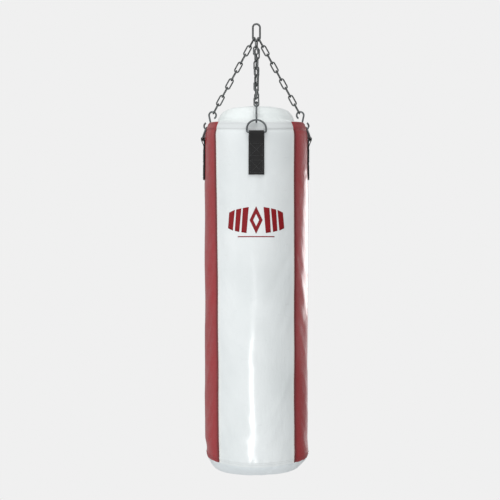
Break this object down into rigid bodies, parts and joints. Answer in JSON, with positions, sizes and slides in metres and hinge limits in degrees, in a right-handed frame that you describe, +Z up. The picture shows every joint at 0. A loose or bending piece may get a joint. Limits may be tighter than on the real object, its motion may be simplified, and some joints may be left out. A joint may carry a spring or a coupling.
{
  "type": "hanging punch bag",
  "caption": "Straight round heavy punch bag with white and red panels, hung from webbing straps, D-rings, S-hooks and converging chains on one oblong link.",
  "frame": {"origin": "inside top of the oblong master link, the point that rests on the ceiling hook", "axes": "+Z up along the bag axis, -Y towards the front of the bag, X from side to side"},
  "size_m": [0.3756, 0.3756, 1.5196],
  "materials": {
    "link_steel": "zinc-plated round wire, slightly worn",
    "chain_steel": "zinc-plated welded chain, satin",
    "hook_steel": "zinc-plated bent wire, satin",
    "ring_steel": "zinc-plated welded ring, satin",
    "strap_webbing": "black woven nylon webbing",
    "white_vinyl": "white synthetic leather, soft gloss",
    "red_vinyl": "dark red synthetic leather, soft gloss",
    "cover_vinyl": "white synthetic leather, soft gloss",
    "cap_vinyl": "pale grey-white synthetic leather",
    "foam": "closed-cell foam lining",
    "filling": "packed shredded textile",
    "zip_tape": "woven zip tape and coil",
    "zip_metal": "nickel-plated die casting"
  },
  "bodies": {
    "master_link": {"master_link": "link_steel"},
    "first_links": {"first_links": "chain_steel"},
    "second_links": {"second_links": "chain_steel"},
    "bag": {"foam_liner": "foam", "filling": "filling", "top_cover": "cover_vinyl", "top_pad": "foam", "base_pad": "foam", "bottom_cap": "cap_vinyl", "zipper_tape": "zip_tape", "panel_front": "white_vinyl", "panel_right": "red_vinyl", "panel_back": "white_vinyl", "panel_left": "red_vinyl", "strap_front": "strap_webbing", "strap_right": "strap_webbing", "strap_back": "strap_webbing", "strap_left": "strap_webbing"},
    "d_ring_front": {"d_ring_front": "ring_steel"},
    "s_hook_front": {"s_hook_front": "hook_steel"},
    "chain_front_link_9": {"chain_front_link_9": "chain_steel"},
    "chain_front_link_8": {"chain_front_link_8": "chain_steel"},
    "chain_front_link_7": {"chain_front_link_7": "chain_steel"},
    "chain_front_link_6": {"chain_front_link_6": "chain_steel"},
    "chain_front_link_5": {"chain_front_link_5": "chain_steel"},
    "chain_front_link_4": {"chain_front_link_4": "chain_steel"},
    "chain_front_link_3": {"chain_front_link_3": "chain_steel"},
    "d_ring_right": {"d_ring_right": "ring_steel"},
    "s_hook_right": {"s_hook_right": "hook_steel"},
    "chain_right_link_9": {"chain_right_link_9": "chain_steel"},
    "chain_right_link_8": {"chain_right_link_8": "chain_steel"},
    "chain_right_link_7": {"chain_right_link_7": "chain_steel"},
    "chain_right_link_6": {"chain_right_link_6": "chain_steel"},
    "chain_right_link_5": {"chain_right_link_5": "chain_steel"},
    "chain_right_link_4": {"chain_right_link_4": "chain_steel"},
    "chain_right_link_3": {"chain_right_link_3": "chain_steel"},
    "d_ring_back": {"d_ring_back": "ring_steel"},
    "s_hook_back": {"s_hook_back": "hook_steel"},
    "chain_back_link_9": {"chain_back_link_9": "chain_steel"},
    "chain_back_link_8": {"chain_back_link_8": "chain_steel"},
    "chain_back_link_7": {"chain_back_link_7": "chain_steel"},
    "chain_back_link_6": {"chain_back_link_6": "chain_steel"},
    "chain_back_link_5": {"chain_back_link_5": "chain_steel"},
    "chain_back_link_4": {"chain_back_link_4": "chain_steel"},
    "chain_back_link_3": {"chain_back_link_3": "chain_steel"},
    "d_ring_left": {"d_ring_left": "ring_steel"},
    "s_hook_left": {"s_hook_left": "hook_steel"},
    "chain_left_link_9": {"chain_left_link_9": "chain_steel"},
    "chain_left_link_8": {"chain_left_link_8": "chain_steel"},
    "chain_left_link_7": {"chain_left_link_7": "chain_steel"},
    "chain_left_link_6": {"chain_left_link_6": "chain_steel"},
    "chain_left_link_5": {"chain_left_link_5": "chain_steel"},
    "chain_left_link_4": {"chain_left_link_4": "chain_steel"},
    "chain_left_link_3": {"chain_left_link_3": "chain_steel"},
    "zipper_slider": {"zipper_slider": "zip_metal"},
    "zipper_pull": {"zipper_pull": "zip_metal"}
  },
  "joints": [
    {"name": "swing_fore_aft", "type": "hinge", "parent": "master_link", "child": "first_links", "pos_m": [0, 0, -0.05444], "axis": [1, 0, 0], "range_deg": [-12, 12]},
    {"name": "bag_twist", "type": "hinge", "parent": "first_links", "child": "second_links", "pos_m": [0, 0, -0.05444], "axis": [0, 0, 1], "range_deg": [-2.3, 2.3]},
    {"name": "bag_lift", "type": "slide", "parent": "second_links", "child": "bag", "axis": [0, 0, 1], "range_m": [0, 0.008]},
    {"name": "ring_front_hinge", "type": "hinge", "parent": "bag", "child": "d_ring_front", "pos_m": [0, -0.1816, -0.39], "axis": [1, 0, 0], "range_deg": [0, 8.01]},
    {"name": "hook_front_hinge", "type": "hinge", "parent": "d_ring_front", "child": "s_hook_front", "pos_m": [0, -0.16831, -0.3491], "axis": [1, 0, 0], "range_deg": [-14.01, 0]},
    {"name": "front_link_9_pivot", "type": "hinge", "parent": "s_hook_front", "child": "chain_front_link_9", "pos_m": [0.00006, -0.14699, -0.30143], "axis": [1, 0, 0], "range_deg": [-12.04, 0]},
    {"name": "front_link_8_pivot", "type": "hinge", "parent": "chain_front_link_9", "child": "chain_front_link_8", "pos_m": [-0.0003, -0.12924, -0.2716], "axis": [1, 0, 0], "range_deg": [0, 5.65]},
    {"name": "front_link_7_pivot", "type": "hinge", "parent": "chain_front_link_8", "child": "chain_front_link_7", "pos_m": [-0.00063, -0.11284, -0.24405], "axis": [1, 0, 0], "range_deg": [0, 5.65]},
    {"name": "front_link_6_pivot", "type": "hinge", "parent": "chain_front_link_7", "child": "chain_front_link_6", "pos_m": [-0.00096, -0.09644, -0.21649], "axis": [1, 0, 0], "range_deg": [0, 5.65]},
    {"name": "front_link_5_pivot", "type": "hinge", "parent": "chain_front_link_6", "child": "chain_front_link_5", "pos_m": [-0.00129, -0.08005, -0.18894], "axis": [1, 0, 0], "range_deg": [0, 5.65]},
    {"name": "front_link_4_pivot", "type": "hinge", "parent": "chain_front_link_5", "child": "chain_front_link_4", "pos_m": [-0.00163, -0.06365, -0.16139], "axis": [1, 0, 0], "range_deg": [0, 5.65]},
    {"name": "front_link_3_pivot", "type": "hinge", "parent": "chain_front_link_4", "child": "chain_front_link_3", "pos_m": [-0.00196, -0.04725, -0.13383], "axis": [1, 0, 0], "range_deg": [0, 5.65]},
    {"name": "ring_right_hinge", "type": "hinge", "parent": "bag", "child": "d_ring_right", "pos_m": [0.1816, 0, -0.39], "axis": [0, 1, 0], "range_deg": [0, 8.01]},
    {"name": "hook_right_hinge", "type": "hinge", "parent": "d_ring_right", "child": "s_hook_right", "pos_m": [0.16831, 0, -0.3491], "axis": [0, 1, 0], "range_deg": [-14.01, 0]},
    {"name": "right_link_9_pivot", "type": "hinge", "parent": "s_hook_right", "child": "chain_right_link_9", "pos_m": [0.1468, 0, -0.30154], "axis": [0, 1, 0], "range_deg": [-12.24, 0]},
    {"name": "right_link_8_pivot", "type": "hinge", "parent": "chain_right_link_9", "child": "chain_right_link_8", "pos_m": [0.13017, 0, -0.27103], "axis": [0, 1, 0], "range_deg": [0, 5.73]},
    {"name": "right_link_7_pivot", "type": "hinge", "parent": "chain_right_link_8", "child": "chain_right_link_7", "pos_m": [0.11478, 0, -0.24282], "axis": [0, 1, 0], "range_deg": [0, 5.73]},
    {"name": "right_link_6_pivot", "type": "hinge", "parent": "chain_right_link_7", "child": "chain_right_link_6", "pos_m": [0.09939, 0, -0.2146], "axis": [0, 1, 0], "range_deg": [0, 5.73]},
    {"name": "right_link_5_pivot", "type": "hinge", "parent": "chain_right_link_6", "child": "chain_right_link_5", "pos_m": [0.084, 0, -0.18639], "axis": [0, 1, 0], "range_deg": [0, 5.73]},
    {"name": "right_link_4_pivot", "type": "hinge", "parent": "chain_right_link_5", "child": "chain_right_link_4", "pos_m": [0.06862, 0, -0.15817], "axis": [0, 1, 0], "range_deg": [0, 5.73]},
    {"name": "right_link_3_pivot", "type": "hinge", "parent": "chain_right_link_4", "child": "chain_right_link_3", "pos_m": [0.05323, 0, -0.12996], "axis": [0, 1, 0], "range_deg": [0, 5.73]},
    {"name": "ring_back_hinge", "type": "hinge", "parent": "bag", "child": "d_ring_back", "pos_m": [0, 0.1816, -0.39], "axis": [-1, 0, 0], "range_deg": [0, 8.01]},
    {"name": "hook_back_hinge", "type": "hinge", "parent": "d_ring_back", "child": "s_hook_back", "pos_m": [0, 0.16831, -0.3491], "axis": [-1, 0, 0], "range_deg": [-14.01, 0]},
    {"name": "back_link_9_pivot", "type": "hinge", "parent": "s_hook_back", "child": "chain_back_link_9", "pos_m": [-0.00006, 0.14699, -0.30143], "axis": [-1, 0, 0], "range_deg": [-12.04, 0]},
    {"name": "back_link_8_pivot", "type": "hinge", "parent": "chain_back_link_9", "child": "chain_back_link_8", "pos_m": [0.0003, 0.12924, -0.2716], "axis": [-1, 0, 0], "range_deg": [0, 5.65]},
    {"name": "back_link_7_pivot", "type": "hinge", "parent": "chain_back_link_8", "child": "chain_back_link_7", "pos_m": [0.00063, 0.11284, -0.24405], "axis": [-1, 0, 0], "range_deg": [0, 5.65]},
    {"name": "back_link_6_pivot", "type": "hinge", "parent": "chain_back_link_7", "child": "chain_back_link_6", "pos_m": [0.00096, 0.09644, -0.21649], "axis": [-1, 0, 0], "range_deg": [0, 5.65]},
    {"name": "back_link_5_pivot", "type": "hinge", "parent": "chain_back_link_6", "child": "chain_back_link_5", "pos_m": [0.00129, 0.08005, -0.18894], "axis": [-1, 0, 0], "range_deg": [0, 5.65]},
    {"name": "back_link_4_pivot", "type": "hinge", "parent": "chain_back_link_5", "child": "chain_back_link_4", "pos_m": [0.00163, 0.06365, -0.16139], "axis": [-1, 0, 0], "range_deg": [0, 5.65]},
    {"name": "back_link_3_pivot", "type": "hinge", "parent": "chain_back_link_4", "child": "chain_back_link_3", "pos_m": [0.00196, 0.04725, -0.13383], "axis": [-1, 0, 0], "range_deg": [0, 5.65]},
    {"name": "ring_left_hinge", "type": "hinge", "parent": "bag", "child": "d_ring_left", "pos_m": [-0.1816, 0, -0.39], "axis": [0, -1, 0], "range_deg": [0, 8.01]},
    {"name": "hook_left_hinge", "type": "hinge", "parent": "d_ring_left", "child": "s_hook_left", "pos_m": [-0.16831, 0, -0.3491], "axis": [0, -1, 0], "range_deg": [-14.01, 0]},
    {"name": "left_link_9_pivot", "type": "hinge", "parent": "s_hook_left", "child": "chain_left_link_9", "pos_m": [-0.1468, 0, -0.30154], "axis": [0, -1, 0], "range_deg": [-12.24, 0]},
    {"name": "left_link_8_pivot", "type": "hinge", "parent": "chain_left_link_9", "child": "chain_left_link_8", "pos_m": [-0.13017, 0, -0.27103], "axis": [0, -1, 0], "range_deg": [0, 5.73]},
    {"name": "left_link_7_pivot", "type": "hinge", "parent": "chain_left_link_8", "child": "chain_left_link_7", "pos_m": [-0.11478, 0, -0.24282], "axis": [0, -1, 0], "range_deg": [0, 5.73]},
    {"name": "left_link_6_pivot", "type": "hinge", "parent": "chain_left_link_7", "child": "chain_left_link_6", "pos_m": [-0.09939, 0, -0.2146], "axis": [0, -1, 0], "range_deg": [0, 5.73]},
    {"name": "left_link_5_pivot", "type": "hinge", "parent": "chain_left_link_6", "child": "chain_left_link_5", "pos_m": [-0.084, 0, -0.18639], "axis": [0, -1, 0], "range_deg": [0, 5.73]},
    {"name": "left_link_4_pivot", "type": "hinge", "parent": "chain_left_link_5", "child": "chain_left_link_4", "pos_m": [-0.06862, 0, -0.15817], "axis": [0, -1, 0], "range_deg": [0, 5.73]},
    {"name": "left_link_3_pivot", "type": "hinge", "parent": "chain_left_link_4", "child": "chain_left_link_3", "pos_m": [-0.05323, 0, -0.12996], "axis": [0, -1, 0], "range_deg": [0, 5.73]},
    {"name": "zip_slide", "type": "hinge", "parent": "bag", "child": "zipper_slider", "pos_m": [0, 0.045, -1.2895], "axis": [0, 1, 0], "range_deg": [0, 8]},
    {"name": "zip_pull_hinge", "type": "hinge", "parent": "zipper_slider", "child": "zipper_pull", "pos_m": [-0.07055, 0.045, -0.28057], "axis": [0, 1, 0], "range_deg": [0, 150]}
  ],
  "couplings": [
    {"joint": "ring_front_hinge", "follows": "bag_lift", "rad_per_m": 17.453},
    {"joint": "hook_front_hinge", "follows": "bag_lift", "rad_per_m": -30.543},
    {"joint": "front_link_9_pivot", "follows": "bag_lift", "rad_per_m": -26.246},
    {"joint": "front_link_8_pivot", "follows": "bag_lift", "rad_per_m": 12.302},
    {"joint": "front_link_7_pivot", "follows": "bag_lift", "rad_per_m": 12.302},
    {"joint": "front_link_6_pivot", "follows": "bag_lift", "rad_per_m": 12.302},
    {"joint": "front_link_5_pivot", "follows": "bag_lift", "rad_per_m": 12.302},
    {"joint": "front_link_4_pivot", "follows": "bag_lift", "rad_per_m": 12.302},
    {"joint": "front_link_3_pivot", "follows": "bag_lift", "rad_per_m": 12.302},
    {"joint": "ring_right_hinge", "follows": "bag_lift", "rad_per_m": 17.453},
    {"joint": "hook_right_hinge", "follows": "bag_lift", "rad_per_m": -30.543},
    {"joint": "right_link_9_pivot", "follows": "bag_lift", "rad_per_m": -26.673},
    {"joint": "right_link_8_pivot", "follows": "bag_lift", "rad_per_m": 12.483},
    {"joint": "right_link_7_pivot", "follows": "bag_lift", "rad_per_m": 12.483},
    {"joint": "right_link_6_pivot", "follows": "bag_lift", "rad_per_m": 12.483},
    {"joint": "right_link_5_pivot", "follows": "bag_lift", "rad_per_m": 12.483},
    {"joint": "right_link_4_pivot", "follows": "bag_lift", "rad_per_m": 12.483},
    {"joint": "right_link_3_pivot", "follows": "bag_lift", "rad_per_m": 12.483},
    {"joint": "ring_back_hinge", "follows": "bag_lift", "rad_per_m": 17.453},
    {"joint": "hook_back_hinge", "follows": "bag_lift", "rad_per_m": -30.543},
    {"joint": "back_link_9_pivot", "follows": "bag_lift", "rad_per_m": -26.246},
    {"joint": "back_link_8_pivot", "follows": "bag_lift", "rad_per_m": 12.302},
    {"joint": "back_link_7_pivot", "follows": "bag_lift", "rad_per_m": 12.302},
    {"joint": "back_link_6_pivot", "follows": "bag_lift", "rad_per_m": 12.302},
    {"joint": "back_link_5_pivot", "follows": "bag_lift", "rad_per_m": 12.302},
    {"joint": "back_link_4_pivot", "follows": "bag_lift", "rad_per_m": 12.302},
    {"joint": "back_link_3_pivot", "follows": "bag_lift", "rad_per_m": 12.302},
    {"joint": "ring_left_hinge", "follows": "bag_lift", "rad_per_m": 17.453},
    {"joint": "hook_left_hinge", "follows": "bag_lift", "rad_per_m": -30.543},
    {"joint": "left_link_9_pivot", "follows": "bag_lift", "rad_per_m": -26.673},
    {"joint": "left_link_8_pivot", "follows": "bag_lift", "rad_per_m": 12.483},
    {"joint": "left_link_7_pivot", "follows": "bag_lift", "rad_per_m": 12.483},
    {"joint": "left_link_6_pivot", "follows": "bag_lift", "rad_per_m": 12.483},
    {"joint": "left_link_5_pivot", "follows": "bag_lift", "rad_per_m": 12.483},
    {"joint": "left_link_4_pivot", "follows": "bag_lift", "rad_per_m": 12.483},
    {"joint": "left_link_3_pivot", "follows": "bag_lift", "rad_per_m": 12.483}
  ]
}
